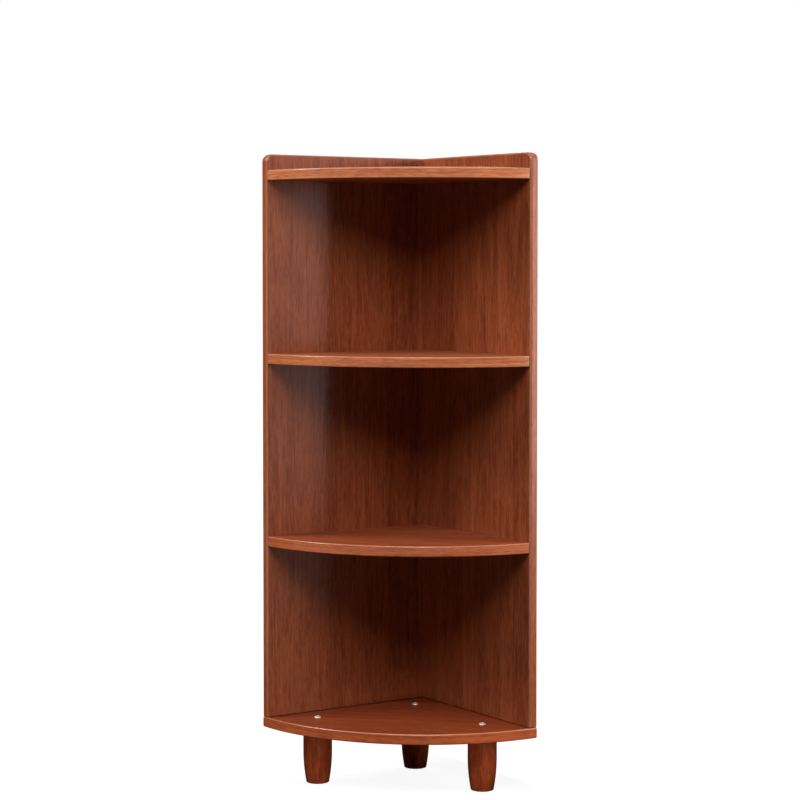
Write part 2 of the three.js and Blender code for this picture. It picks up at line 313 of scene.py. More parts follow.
# %% [markdown]
# Photographers put a black card beside a glossy thing where its outline would melt into the white. Here
# one stands on the left and one lies on the floor. Only reflections see them, so they throw no shadow, and
# the left panel's outer arris and the legs keep their deep red. Three low cards only throw shadow: one
# behind the unit keeps the side lamp off the legs, as the wall of a room would, one under the left end of
# the bottom board keeps the left lamp off the left leg, and one beside the back leg keeps the low lamp off
# it. The camera sees none of them.

# %% Place the black cards
FELT_BLACK = (0.01, 0.01, 0.01, 1)
CARD_FOOT = 0.002  # a little above the floor
RAYS = ("camera", "diffuse", "glossy", "transmission", "volume_scatter", "shadow")


def upright(start, end, low, high):
    """Corners of an upright card between two places on the floor."""
    return [(*start, low), (*end, low), (*end, high), (*start, high)]


def level(reach, height):
    """Corners of a level square round the unit."""
    return [(x * reach, y * reach, height) for x, y in ((-1, -1), (1, -1), (1, 1), (-1, 1))]


def new_piece(name, points, edges=(), faces=()):
    """A piece from its points, and from the edges or faces between them."""
    mesh = bpy.data.meshes.new(name)
    mesh.from_pydata([tuple(p) for p in points], edges, faces)
    return new_object(name, mesh)


def sheet(name, corners, material):
    """One flat face that belongs to the studio."""
    piece = new_piece(name, corners, faces=[(0, 1, 2, 3)])
    piece.data.materials.append(material)
    return piece


# Each card with the one kind of ray that meets it
CARDS = {
    "black_card": (upright((-0.5, -0.9), (-0.5, 0.5), CARD_FOOT, 1.3), "glossy"),
    "floor_card": (level(1.2, 0.001), "glossy"),
    "low_card": (upright((-0.17, 0.18), (0.26, 0.18), CARD_FOOT, 0.09), "shadow"),
    "end_card": (upright((-0.16, -0.146), (-0.06, -0.146), 0.025, 0.08), "shadow"),
    "leg_card": (upright((-0.09, 0.031), (-0.034, 0.115), CARD_FOOT, 0.08), "shadow"),
}

felt, bench = new_material("black_felt")
bench.surface({"Base Color": FELT_BLACK, "Roughness": 1.0})
for name, (corners, only) in CARDS.items():
    card = sheet(name, corners, felt)
    for ray in RAYS:
        setattr(card, "visible_" + ray, ray == only)
print("cards:", list(CARDS))

# %% [markdown]
# The floor is a sheet of pale paper. White paper would throw red and white light back at the underside of
# the unit, so the paper itself is grey, and what makes it white is only added for the rays that see it.
# Near the unit it gives a little less of that, which leaves room for a soft shadow.

# %% Lay the floor
FLOOR_REACH = 30.0
FLOOR_GREY = (0.16, 0.158, 0.155, 1)
FLOOR_LIFT = 0.925  # strength of the added white near the unit
SHADOW_REACH = (0.35, 1.2)  # outward between these, the lift rises to full white

paper, bench = new_material("floor_paper")
away = bench.add("ShaderNodeVectorMath", {0: bench.place()}, operation="LENGTH").outputs["Value"]
lift = rays_that_see_white(bench) * bench.ramp(away, *SHADOW_REACH, FLOOR_LIFT, 1.0)
matt = bench.add("ShaderNodeBsdfDiffuse", {"Color": FLOOR_GREY})
glow = bench.add("ShaderNodeEmission", {"Color": WHITE, "Strength": lift})
together = bench.add("ShaderNodeAddShader", {0: matt.outputs[0], 1: glow.outputs[0]})
bench.add("ShaderNodeOutputMaterial", {"Surface": together.outputs[0]})

floor = sheet("floor", level(FLOOR_REACH, 0), paper)
print("floor laid,", 2 * FLOOR_REACH, "m wide")

# %% [markdown]
# ## Stained wood
# Each board is glued up from staves, and every stave was sawn from another place in its log. A picture of
# wood could be wrapped round each board, but it would smear on the arrises. So the wood is a solid, in
# real millimetres, that reads the object's own coordinates: it runs through the board, and an arris shows
# the same grain as the faces beside it.
#
# First comes the place in the wood: along the grain, across the staves and through the board. The curved
# fronts are covered by one strip that was bent round them, so there the grain follows the curve.

# %% Places in the wood
STAVE_WIDTH = 57.5 * MM
SEED_SHIFT = 0.1  # how far each seed shifts the staves sideways
CURVED_FRONT = (0.6, 0.8)  # marks of a narrow edge between which a curved front begins

Spot = namedtuple("Spot", "along across through stave middle luck")


def wood_spot(bench, place, grain, across, seed, stave_width, bent_round):
    """Where a place lies in the wood, and the number, the middle and three lucky numbers of its stave.

    The grain of a curved front follows a circle about the point bent_round."""
    g, a, t = (bench.along(place, way) for way in (grain, across, grain.cross(across)))
    stave = bench.math("FLOOR", (a + seed * SEED_SHIFT) / stave_width)
    if bent_round:
        front = bench.ramp(bench.mark("narrow_edge"), *CURVED_FRONT)
        stave = stave * (1.0 - front)
    middle = (stave + 0.5) * stave_width - seed * SEED_SHIFT
    chance = bench.add("ShaderNodeTexWhiteNoise", {"W": stave + seed}, noise_dimensions="1D")
    luck = bench.parts("ShaderNodeSeparateColor", chance.outputs["Color"])
    if bent_round:
        reach = bench.add("ShaderNodeVectorMath", {0: place, 1: tuple(bent_round)}, operation="SUBTRACT")
        x, y, z = bench.parts("ShaderNodeSeparateXYZ", reach.outputs[0])
        g = bench.mix(front, g, bench.math("ARCTAN2", y, x) * SIDE)
        a = bench.mix(front, a, z)
        t = bench.mix(front, t, bench.math("SQRT", x * x + y * y))
    return Spot(g, a, t, stave, middle, luck)


print("staves:", round(STAVE_WIDTH / MM, 1), "mm wide")

# %% [markdown]
# Each stave has its own centre of growth rings below the board, and the rings wander a little along the
# grain. Fibres, flecks, broad streaks and short dark pores are noises, each drawn out along the grain by
# its own measure.

# %% Rings, fibres and pores
RING_WIDTH = 4.2 * MM
RING_WANDER = 22 * MM  # how far the rings stray along a board
WANDER_ACROSS, WANDER_ALONG = 9.0, 1.7  # repeats per metre
HEART_SIDEWAYS = 50 * MM  # width in which the rings' centre lies
HEART_DEPTH, HEART_DEPTH_LUCK = 25 * MM, 60 * MM  # its least depth, and what luck may add
HEART_LEAN = 0.03  # how far it sinks in a metre along the grain
LATE_WOOD = (0.25, 0.92)  # shares of a ring between which its wood darkens
RING_END = (0.93, 1.0)  # and between which it turns pale again

# Repeats per metre across and along the grain, and how much fine detail is laid over them
DRAWN_OUT = {
    "fibre": (520.0, 14.0, 3.0),
    "fleck": (400.0, 62.0, 1.0),
    "streak": (70.0, 2.2, 2.0),
    "pore": (1150.0, 85.0, 1.0),
}
PORE_EDGE = (0.60, 0.72)  # the pores are the peaks of their noise
CLOUD_SCALE = 4.0  # repeats per metre of a slow change of tone


def late_wood(bench, spot):
    """How far into the dark part of its growth ring a place lies."""
    g, a, t, stave, middle, luck = spot
    slow = bench.vector(a * WANDER_ACROSS, t * WANDER_ACROSS, g * WANDER_ALONG)
    wander = (bench.noise(slow, 2.0, shuffle=luck[0] + stave) - 0.5) * RING_WANDER
    aside = a - middle - (luck[1] - 0.5) * HEART_SIDEWAYS
    below = t + (luck[2] * HEART_DEPTH_LUCK + HEART_DEPTH) + g * HEART_LEAN
    radius = bench.math("SQRT", aside * aside + below * below) + wander
    ring = bench.math("FRACT", radius / RING_WIDTH)
    return bench.ramp(ring, *LATE_WOOD) * (1.0 - bench.ramp(ring, *RING_END))


def drawn_out(bench, spot, kind):
    """A noise drawn out along the grain."""
    across, along, detail = DRAWN_OUT[kind]
    where = bench.vector(spot.across * across, spot.through * across, spot.along * along)
    return bench.noise(where, detail, roughness=0.6, shuffle=spot.luck[2] + spot.stave)


print("noises along the grain:", list(DRAWN_OUT))

# %% [markdown]
# The stain is deeper in late wood and in the pores. Narrow edges and curved fronts are painted paler, as
# painted light for the stronger light that falls on them, while the broad faces stay darker. The arrises
# are paler still, partly from wear where they were sanded round and partly as a painted highlight. In the
# groove of a joint the colour is painted nearly black, as painted shade for the shadow that falls there.
# Over it lies a lacquer, a clear coat that is thin on the broad faces and thickest on the rounded arrises.
# Marks that are stored on each board say where these places are. The colours could be painted on, but made
# from marks they fit any board.

# %% Stain and lacquer
PALE_STAIN = (0.50, 0.128, 0.045, 1)
DEEP_STAIN = (0.23, 0.045, 0.015, 1)
PORE_STAIN = (0.11, 0.022, 0.009, 1)
# Pale colour of the arrises: partly wear from sanding, partly a painted highlight
ARRIS_WEAR_AND_HIGHLIGHT = (0.72, 0.34, 0.20, 1)
# Painted shade: nearly black colour for the shadow in the groove of a joint
GROOVE_SHADE = (0.020, 0.004, 0.002, 1)
TONE_EDGE = (0.20, 0.80)  # the depths of tone that give the pale and the deep stain
PORE_SHARE = 0.55
NARROW_EDGE = (0.4, 0.9)  # marks between which the painted light of a narrow edge sets in
WEAR_AND_HIGHLIGHT_FIBRE = (0.25, 0.6)  # the wear and the painted highlight spare the low fibres
WEAR_AND_HIGHLIGHT_SHARE = 0.85  # how pale an arris is worn and painted as a highlight, as a share of its added shine
GROOVE_EDGE = (0.35, 0.75)
GROOVE_SHARE = 0.9
RELIEF_DEPTH = 0.12 * MM


def stain_depth(bench, place, spot, fibre):
    """How deep a tone the wood takes, from about 0 to 1, with the share of each thing that deepens it."""
    shares = (
        (late_wood(bench, spot), 0.07),
        (fibre, 0.65),
        (drawn_out(bench, spot, "fleck"), 0.50),
        (drawn_out(bench, spot, "streak"), 0.55),
        (spot.luck[0], 0.15),
        (bench.noise(place, 2.0, scale=CLOUD_SCALE), 0.22),
    )
    depth = 0.5
    for part, share in shares:
        depth = (part - 0.5) * share + depth
    return depth


def stained_wood(name, grain, across, seed, tone, shine, edge_shine=0.0, arris_shine=0.0,
                 edge_painted_light=None, bent_round=None, stave_width=STAVE_WIDTH):
    """Lacquered wood with its grain along one direction and its staves side by side along another.

    tone scales the stain's red, green and blue, and the edge tone scales it once more on the narrow
    edges, as painted light that makes them paler. shine is how much the lacquer mirrors, edge_shine what
    it mirrors more on the narrow edges, and arris_shine on the rounded arrises, where it also sets how far
    they are worn paler and painted paler as a highlight."""
    material, bench = new_material(name)
    place = bench.place()
    spot = wood_spot(bench, place, grain, across, seed, stave_width, bent_round)
    fibre = drawn_out(bench, spot, "fibre")
    pore = bench.ramp(drawn_out(bench, spot, "pore"), *PORE_EDGE)

    depth = stain_depth(bench, place, spot, fibre)
    stain = bench.blend(bench.ramp(depth, *TONE_EDGE), PALE_STAIN, DEEP_STAIN)
    stain = bench.blend(pore * PORE_SHARE, stain, PORE_STAIN)
    stain = bench.blend(1.0, stain, (*tone, 1), "MULTIPLY")
    # Painted light: the narrow edges and curved fronts are made paler than the broad faces
    if edge_painted_light:
        edge_lit_stain = bench.blend(1.0, stain, (*edge_painted_light, 1), "MULTIPLY")
        stain = bench.blend(bench.ramp(bench.mark("narrow_edge"), *NARROW_EDGE), stain, edge_lit_stain)
    # Partly wear, partly a painted highlight: the rounded arrises turn paler
    worn_and_highlit = bench.mark("arris") * bench.ramp(fibre, *WEAR_AND_HIGHLIGHT_FIBRE)
    stain = bench.blend(worn_and_highlit * (arris_shine * WEAR_AND_HIGHLIGHT_SHARE), stain, ARRIS_WEAR_AND_HIGHLIGHT)
    # Painted shade: the groove of a joint turns nearly black, standing in for its shadow
    groove = bench.ramp(bench.mark("joint"), *GROOVE_EDGE)
    stain = bench.blend(groove * GROOVE_SHARE, stain, GROOVE_SHADE)

    coat = shine
    for attribute, more in (("narrow_edge", edge_shine), ("arris", arris_shine)):
        if more:
            coat = bench.mark(attribute) * more + coat
    relief = fibre * 0.35 - pore * 0.8
    bench.surface({
        "Base Color": stain,
        "Roughness": fibre * 0.12 + 0.36,
        "Normal": bench.bump(relief, 0.35, RELIEF_DEPTH),
        "Specular IOR Level": 0.06,
        "Coat Weight": coat,
        "Coat Normal": bench.bump(relief, 0.12, RELIEF_DEPTH),
        "Coat Roughness": 0.17,
        "Coat IOR": 1.8,
    })
    return material


print("stain from", PALE_STAIN[:3], "to", DEEP_STAIN[:3])

# %% [markdown]
# No two boards take a stain alike. Each board has its own tone, and each its own seed, so that no stave is
# seen twice. The shelves' tones also turn paler and less red towards the top: a painted sheen for the high
# lamp, which the upper shelves mirror more. On the panels the grain runs up. On the shelves and the bottom
# board it runs along the chord of the curved front, from panel to panel, because wood carries best along
# its grain.

# %% Mix the woods of the boards
PANEL_TONE = (0.74, 0.76, 0.78)
PANEL_EDGE_PAINTED_LIGHT = (1.26, 1.20, 1.08)  # narrow edges are painted a little paler, as painted light for the stronger light on them
PANEL_SHINE = 0.075
PANEL_EDGE_SHINE = 0.08  # added on the narrow edges, which are sanded finer
PANEL_ARRIS_SHINE = 0.32

# Painted sheen: the higher a shelf, the paler and less red its tone
SHELF_TONES_WITH_PAINTED_SHEEN = {
    "lower_shelf": (0.71, 0.66, 0.70),
    "upper_shelf": (0.86, 0.97, 1.08),
    "top_shelf": (0.84, 1.00, 1.22),
}
SHELF_SHINE = 0.06
BASE_TONE = (0.66, 0.52, 0.47)
BASE_SHINE = 0.22
FRONT_PAINTED_LIGHT = (1.64, 1.78, 1.68)  # curved fronts are painted paler still, as painted light for the light that falls on them
FRONT_SHINE = 0.15
LYING_ARRIS_SHINE = 0.85


def panel_wood(name, across, seed):
    """Wood of an upright panel, with its grain upwards."""
    return stained_wood(
        name, UPWARD, across, seed, PANEL_TONE, PANEL_SHINE, PANEL_EDGE_SHINE, PANEL_ARRIS_SHINE,
        PANEL_EDGE_PAINTED_LIGHT,
    )


def lying_wood(name, seed, tone, shine):
    """Wood of a quarter-round board, with its grain along the chord of the curved front."""
    return stained_wood(
        name, CHORD, FORWARD, seed, tone, shine, FRONT_SHINE - shine, LYING_ARRIS_SHINE, FRONT_PAINTED_LIGHT, CORNER
    )


left_panel_wood = panel_wood("left_panel_wood", OUT_LEFT, seed=3)
right_panel_wood = panel_wood("right_panel_wood", OUT_RIGHT, seed=11)
shelf_woods = {
    node: lying_wood(node + "_wood", 23 + 12 * tier, tone, SHELF_SHINE)
    for tier, (node, tone) in enumerate(SHELF_TONES_WITH_PAINTED_SHEEN.items())
}
base_wood = lying_wood("bottom_board_wood", 59, BASE_TONE, BASE_SHINE)
print("woods:", 3 + len(shelf_woods))

# %% [markdown]
# ## Fasteners
# The screws through the panels and up through the bottom board have a flat countersunk head, and the three
# leg bolts have a low domed head that stands on the bottom board. Both have a hexagon socket and a plain
# shank. There are 22 of them, too many to copy by hand, and each needs its hole in the boards. So one node
# tree turns a fastener on a lathe from a list of radii and cuts its socket, and another sets a copy on
# every joint. With a little more radius and no socket, they also make the cutters that drill the boards.

# %% Where the fasteners sit


def outward_of(node):
    """The direction in which a fastener's head looks."""
    if node.endswith("_leg_bolt"):
        return UPWARD
    if node.startswith("base_"):
        return DOWNWARD
    if node.startswith("corner_") or "_left_" in node:
        return LEFTWARD
    return BACKWARD


def tip_place(node):
    """The tip of a fastener, on the inward side of its box."""
    low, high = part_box(node)
    middle, half = (low + high) / 2, (high - low) / 2
    out = outward_of(node)
    return middle - out * abs(half.dot(out))


KINDS = ("_screw_", "_dowel_", "_leg_bolt", "_leg_insert")
screw_nodes, dowel_nodes, bolt_nodes, insert_nodes = (
    sorted(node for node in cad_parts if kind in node) for kind in KINDS
)
print(len(screw_nodes), "screws", len(dowel_nodes), "dowels", len(bolt_nodes), "bolts")

# %% [markdown]
# A node tree needs named inputs and a way to set them. The helpers below make a tree, declare its inputs
# and hang it on an object as a modifier. Inputs are set by their identifiers before anything is evaluated.
# Every tree ends in real copies with one finish, and its result is turned into a plain mesh.

# %% Helpers for node trees on objects


def new_tree(name, inputs):
    """A Geometry Nodes tree for a geometry and a finish, with more inputs given by name and kind."""
    tree = bpy.data.node_groups.new(name, "GeometryNodeTree")
    for label, kind in {"Geometry": "Geometry", **inputs, "Finish": "Material"}.items():
        tree.interface.new_socket(label, in_out="INPUT", socket_type="NodeSocket" + kind)
    tree.interface.new_socket("Geometry", in_out="OUTPUT", socket_type="NodeSocketGeometry")
    bench = Bench(tree)
    return tree, bench, bench.add("NodeGroupInput").outputs


def end_tree(bench, given, geometry):
    """Ends a tree in real copies with one finish."""
    realized = bench.add("GeometryNodeRealizeInstances", {"Geometry": geometry.outputs[0]})
    finished = bench.add(
        "GeometryNodeSetMaterial", {"Geometry": realized.outputs[0], "Material": given["Finish"]}
    )
    bench.add("NodeGroupOutput", {0: finished.outputs[0]})


def settle(piece):
    """Turns a piece with modifiers into a plain mesh."""
    bpy.context.view_layer.update()
    depsgraph = bpy.context.evaluated_depsgraph_get()
    mesh = bpy.data.meshes.new_from_object(
        piece.evaluated_get(depsgraph), preserve_all_data_layers=True, depsgraph=depsgraph
    )
    mesh.name = piece.name
    piece.modifiers.clear()
    piece.data = mesh
    return piece


def run_tree(piece, tree, values):
    """Runs a tree on a piece with these values for its inputs, and settles the piece."""
    modifier = piece.modifiers.new(tree.name, "NODES")
    modifier.node_group = tree
    for item in tree.interface.items_tree:
        if item.in_out == "INPUT" and item.name in values:
            modifier[item.identifier] = values[item.name]
    return settle(piece)


print("tree helpers ready")

# %% [markdown]
# The lathe tree reads an upright line whose points carry a radius, and sweeps a circle along it. That is
# all that a turned thing is: a list of heights and radii. It also cuts a hexagon socket into the upper
# end where one is asked for.

# %% The lathe tree
HEXAGON = 6

lathe_tree, bench, given = new_tree(
    "turned on a lathe",
    {"Sides": "Int", "Socket Radius": "Float", "Socket Depth": "Float", "Socket Height": "Float"},
)
line = bench.add("GeometryNodeMeshToCurve", {"Mesh": given["Geometry"]})
radius = bench.add("GeometryNodeInputNamedAttribute", {"Name": "turned_radius"}, data_type="FLOAT")
circle = bench.add("GeometryNodeCurvePrimitiveCircle", {"Resolution": given["Sides"], "Radius": 1.0})
swept = bench.add("GeometryNodeCurveToMesh", {
    "Curve": line.outputs[0],
    "Profile Curve": circle.outputs[0],
    "Scale": radius.outputs[0],
    "Fill Caps": True,
})
socket_drill = bench.add("GeometryNodeMeshCylinder", {
    "Vertices": HEXAGON,
    "Radius": given["Socket Radius"],
    "Depth": bench.math("MULTIPLY", given["Socket Depth"], 2.0),  # half of it stands over the end
})
raised_drill = bench.add("GeometryNodeTransform", {
    "Geometry": socket_drill.outputs[0],
    "Translation": bench.vector(0.0, 0.0, given["Socket Height"]),
})
socketed = bench.add(
    "GeometryNodeMeshBoolean",
    {"Mesh 1": swept.outputs[0], "Mesh 2": raised_drill.outputs[0]},
    operation="DIFFERENCE",
)
wanted = bench.add(
    "FunctionNodeCompare", {0: given["Socket Depth"], 1: 0.0}, data_type="FLOAT", operation="GREATER_THAN"
)
chosen = bench.add(
    "GeometryNodeSwitch",
    {"Switch": wanted.outputs[0], "False": swept.outputs[0], "True": socketed.outputs[0]},
    input_type="GEOMETRY",
)
end_tree(bench, given, chosen)


def turned(name, stations, sides, socket_radius=0.0, socket_depth=0.0, finish=None):
    """A turned piece from (height, radius) stations, with its axis on Z and its socket in the upper end."""
    points = [(0, 0, height) for height, _ in stations]
    piece = new_piece(name, points, [(i, i + 1) for i in range(len(stations) - 1)])
    values = piece.data.attributes.new("turned_radius", "FLOAT", "POINT")
    values.data.foreach_set("value", [r for _, r in stations])
    return run_tree(piece, lathe_tree, {
        "Sides": sides,
        "Socket Radius": socket_radius,
        "Socket Depth": socket_depth,
        "Socket Height": stations[-1][0],
        "Finish": finish,
    })


print("tree:", lathe_tree.name, len(lathe_tree.nodes), "nodes")

# %% [markdown]
# The second tree sets copies of a template on points. Every point carries the direction in which its head
# looks, and the copy's own upright axis is turned that way.

# %% The tree that sets fasteners on their joints
setting_tree, bench, given = new_tree("fasteners set on joints", {"Template": "Object"})
template = bench.add("GeometryNodeObjectInfo", {"Object": given["Template"], "As Instance": True})
outward = bench.add("GeometryNodeInputNamedAttribute", {"Name": "outward"}, data_type="FLOAT_VECTOR")
aimed = bench.add("FunctionNodeAlignRotationToVector", {"Vector": outward.outputs[0]}, axis="Z")
copies = bench.add("GeometryNodeInstanceOnPoints", {
    "Points": given["Geometry"], "Instance": template.outputs["Geometry"], "Rotation": aimed.outputs[0],
})
end_tree(bench, given, copies)


def set_on_joints(name, nodes, template_piece, finish=None):
    """One piece with a copy of the template at the tip of each of these fasteners."""
    piece = new_piece(name, [tip_place(n) for n in nodes])
    values = piece.data.attributes.new("outward", "FLOAT_VECTOR", "POINT")
    values.data.foreach_set("vector", [c for n in nodes for c in outward_of(n)])
    return run_tree(piece, setting_tree, {"Template": template_piece, "Finish": finish})


print("tree:", setting_tree.name, len(setting_tree.nodes), "nodes")

# %% [markdown]
# ## Steel
# The bolts and screws are bright plated steel, and the threaded inserts are yellow zinc. A turned head
# shows fine rings round its axis. On so small a head a fine even noise can stand in for them: it varies
# the gloss and the height a little, and a slower noise greys the plating in places.

# %% Metal finishes
TURNING_MARKS = 2400.0  # repeats per metre of the fine noise
DULL_PATCHES = 320.0  # and of the slow one
DULL_EDGE = (0.35, 0.7)  # values of the slow noise between which the plating turns dull


def plated_metal(name, bright, dull, roughness):
    """Plated steel with a slightly uneven gloss."""
    material, bench = new_material(name)
    place = bench.place()
    fine = bench.noise(place, 2.0, scale=TURNING_MARKS)
    broad = bench.noise(place, 3.0, scale=DULL_PATCHES)
    bench.surface({
        "Base Color": bench.blend(bench.ramp(broad, *DULL_EDGE), bright, dull),
        "Roughness": (fine - 0.5) * 0.18 + roughness,
        "Normal": bench.bump(fine, 0.2, 0.04 * MM),
        "Metallic": 1.0,
    })
    return material


bright_steel = plated_metal("bright_steel", (0.92, 0.87, 0.80, 1), (0.82, 0.76, 0.69, 1), 0.52)
yellow_zinc = plated_metal("yellow_zinc", (0.72, 0.66, 0.42, 1), (0.60, 0.50, 0.28, 1), 0.40)
print("metals:", bright_steel.name, yellow_zinc.name)

# %% [markdown]
# A screw's list starts at its tip: a short taper, the plain shank, the cone of the countersunk head and
# the small round at its upper edge. A bolt's list ends in a low dome. The lathe needs some height between
# two stations, so a flat shoulder rises by a hair.

# %% The shapes of screws and bolts
HEAD_RIM = 0.5 * MM  # upright rim of a countersunk head, over its cone
HEAD_EASE = 0.25 * MM  # small round at the upper edge of a head
EASE_SHARE = 0.3  # how far its middle is drawn in
SCREW_TIP_SHARE = 0.6  # length of the tip, as a share of the shank's radius
BOLT_TIP_SHARE = 1 / 3
BOLT_HEAD_HEIGHT = 2.2 * MM
BOLT_HEAD_RIM = 0.6 * MM  # upright rim under the dome
DOME_STEPS = 8
DOME_END_SHARE = 0.02  # radius left at the top, as a share of the head's
SHOULDER_RISE = 0.0025 * MM


def screw_stations(head, shank, length):
    """Heights and radii of a countersunk screw, from its tip up to its head."""
    tip = shank * SCREW_TIP_SHARE
    return [
        (0, shank - tip),
        (tip, shank),
        (length + shank - head - HEAD_RIM, shank),
        (length - HEAD_RIM, head),
        (length - HEAD_EASE, head),
        (length - HEAD_EASE * EASE_SHARE, head - HEAD_EASE * EASE_SHARE),
        (length, head - HEAD_EASE),
    ]


def bolt_stations(head, shank, length):
    """Heights and radii of a bolt with a low domed head, from its tip up."""
    tip = shank * BOLT_TIP_SHARE
    stations = [
        (0, shank - tip),
        (tip, shank),
        (length, shank),
        (length + SHOULDER_RISE, head - HEAD_EASE),
        (length + HEAD_EASE, head),
    ]
    for i in range(DOME_STEPS):
        angle = math.pi / 2 * i / DOME_STEPS
        rise = (BOLT_HEAD_HEIGHT - BOLT_HEAD_RIM) * math.sin(angle)
        stations.append((length + BOLT_HEAD_RIM + rise, head * math.cos(angle)))
    stations.append((length + BOLT_HEAD_HEIGHT, head * DOME_END_SHARE))
    return stations


print("dome:", DOME_STEPS, "steps")

# %% [markdown]
# Each kind is turned once, set on all its joints and put in the place of its nodes. Its hole is turned and
# set the same way, and kept as a cutter for the boards.

# %% Turn the screws and bolts
SCREW_SOCKET = (2.0 * MM, 2.4 * MM)  # radius and depth
BOLT_SOCKET = (2.3 * MM, 1.5 * MM)
BOLT_LENGTH = 40 * MM  # from the tip to the underside of the head
BOLT_SHANK = 3 * MM
HOLE_GAP = 0.3 * MM
HOLE_OVERRUN = 2 * MM
FASTENER_SIDES = 48
FASTENER_CREASE = 35  # degrees


def sides_of(node):
    """The sides of a fastener's box, from the shortest to the longest."""
    low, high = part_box(node)
    return sorted(high - low)


def smooth_by_angle(piece, degrees):
    """Smooth shading, with a crease where two faces meet at more than this angle."""
    piece.data.shade_smooth()
    piece.data.set_sharp_from_angle(angle=math.radians(degrees))


def remove(*pieces):
    for piece in pieces:
        bpy.data.objects.remove(piece)


_, screw_width, screw_length = sides_of(screw_nodes[0])
screw_head = screw_width / 2
screw_shank = screw_head / 2
bolt_head = sides_of(bolt_nodes[0])[1] / 2

screw_shape = screw_stations(screw_head, screw_shank, screw_length)
bolt_shape = bolt_stations(bolt_head, BOLT_SHANK, BOLT_LENGTH)
screw_hole = [
    (-HOLE_GAP, screw_shank + HOLE_GAP),
    (screw_length + screw_shank - screw_head - HEAD_RIM - HOLE_GAP, screw_shank + HOLE_GAP),
    (screw_length - HEAD_RIM - HOLE_GAP, screw_head + HOLE_GAP),
    (screw_length + HOLE_OVERRUN, screw_head + HOLE_GAP),
]
bolt_hole = [(-HOLE_GAP, BOLT_SHANK + HOLE_GAP), (BOLT_LENGTH + HOLE_OVERRUN, BOLT_SHANK + HOLE_GAP)]
fastener_kinds = {
    "joint_screws": (screw_nodes, screw_shape, SCREW_SOCKET, screw_hole),
    "leg_bolts": (bolt_nodes, bolt_shape, BOLT_SOCKET, bolt_hole),
}
cutters = []
for name, (nodes, stations, socket, hole_stations) in fastener_kinds.items():
    pattern = turned(name + "_pattern", stations, FASTENER_SIDES, *socket, bright_steel)
    hole = turned(name + "_hole", hole_stations, FASTENER_SIDES)
    piece = set_on_joints(name, nodes, pattern, bright_steel)
    smooth_by_angle(piece, FASTENER_CREASE)
    cutters.append(set_on_joints(name + "_cutter", nodes, hole))
    remove(pattern, hole)
    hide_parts(*nodes)
    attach(piece, "root")
    print(piece.name, len(nodes), "copies", len(piece.data.polygons), "faces")

# %% [markdown]
# The dowels are hidden in the boards, so they only need their holes here. A dowel's box gives its place,
# its width and its length.

# %% Dowel holes
DOWEL_SIDES = 32

dowel_width, _, dowel_length = sides_of(dowel_nodes[0])
dowel_radius = dowel_width / 2 + HOLE_GAP
dowel_end = dowel_length + HOLE_GAP
dowel_hole = turned("dowel_hole", [(-HOLE_GAP, dowel_radius), (dowel_end, dowel_radius)], DOWEL_SIDES)
cutters.append(set_on_joints("dowel_cutter", dowel_nodes, dowel_hole))
remove(dowel_hole)
print("dowel holes:", len(dowel_nodes))

# %% [markdown]
# ## Boards
# Every board is an outline with a thickness. Some of its arrises are rounded with a router, and those that
# butt against another board are left square. A Bevel modifier would round them all alike, so the helper
# raises the outline as a bare mesh and rounds only the chosen arrises.

# %% Raise a board
ROUND_STEPS = 6
SAME_HEIGHT = 1e-6


def arc(centre, radius, start, end, steps):
    """Points on an arc, from one angle to another, both ends included."""
    angles = [start + (end - start) * i / steps for i in range(steps + 1)]
    return [(centre[0] + radius * math.cos(x), centre[1] + radius * math.sin(x)) for x in angles]


def cut_arrises(work, edges, radius, steps):
    """Rounds these edges off, or cuts a chamfer where there is one step only."""
    bmesh.ops.bevel(
        work, geom=edges, offset=radius, offset_type="OFFSET", segments=steps,
        profile=0.5, affect="EDGES", clamp_overlap=False, material=-1,
    )


def raise_board(name, outline, rounded, to_place, thickness, arris_radius, foot_ease=0.0):
    """A board from an outline. rounded holds the index of each outline side whose arrises are rounded."""
    work = bmesh.new()
    below = [work.verts.new(to_place(u, v, 0)) for u, v in outline]
    above = [work.verts.new(to_place(u, v, thickness)) for u, v in outline]
    count = len(outline)
    work.faces.new(below)
    work.faces.new(above)
    for i in range(count):
        j = (i + 1) % count
        work.faces.new((below[i], below[j], above[j], above[i]))
    bmesh.ops.recalc_face_normals(work, faces=work.faces)
    arrises = [work.edges.get((face[i], face[(i + 1) % count])) for face in (below, above) for i in rounded]
    cut_arrises(work, arrises, arris_radius, ROUND_STEPS)
    if foot_ease:
        lowest = min(v.co.z for v in work.verts)
        foot = [e for e in work.edges if all(abs(v.co.z - lowest) < SAME_HEIGHT for v in e.verts)]
        cut_arrises(work, foot, foot_ease, 1)
    mesh = bpy.data.meshes.new(name)
    work.to_mesh(mesh)
    work.free()
    return new_object(name, mesh)


print("rounded arrises:", ROUND_STEPS, "steps")

# %% [markdown]
# A raised board is drilled with every cutter, and then its large flat faces keep their own shading, so
# that the light only turns where the wood does. Three marks are stored on the surface for the stain, the
# lacquer and the painted light and shade: where it is a narrow edge, where a rounded arris, and where it
# looks into the groove of a joint. They could be painted, but read off from the way the surface looks they
# are exact.

# %% Drill, mark and finish a board
BOARD_CREASE = 30  # degrees
LOOKS_DOWN = -0.05  # a surface that looks down more than this is an underside
UNDERSIDE_SHARE = 0.2  # of an arris there, which is rarely touched and gets less of the painted highlight
HALF_TURNED = 1 - math.sqrt(0.5)  # what an arris loses towards both its faces, halfway round


def drill(piece, *tools):
    """Takes the shape of every tool out of a piece."""
    for tool in tools:
        modifier = piece.modifiers.new(tool.name, "BOOLEAN")
        modifier.operation = "DIFFERENCE"
        modifier.solver = "EXACT"
        modifier.object = tool
    settle(piece)


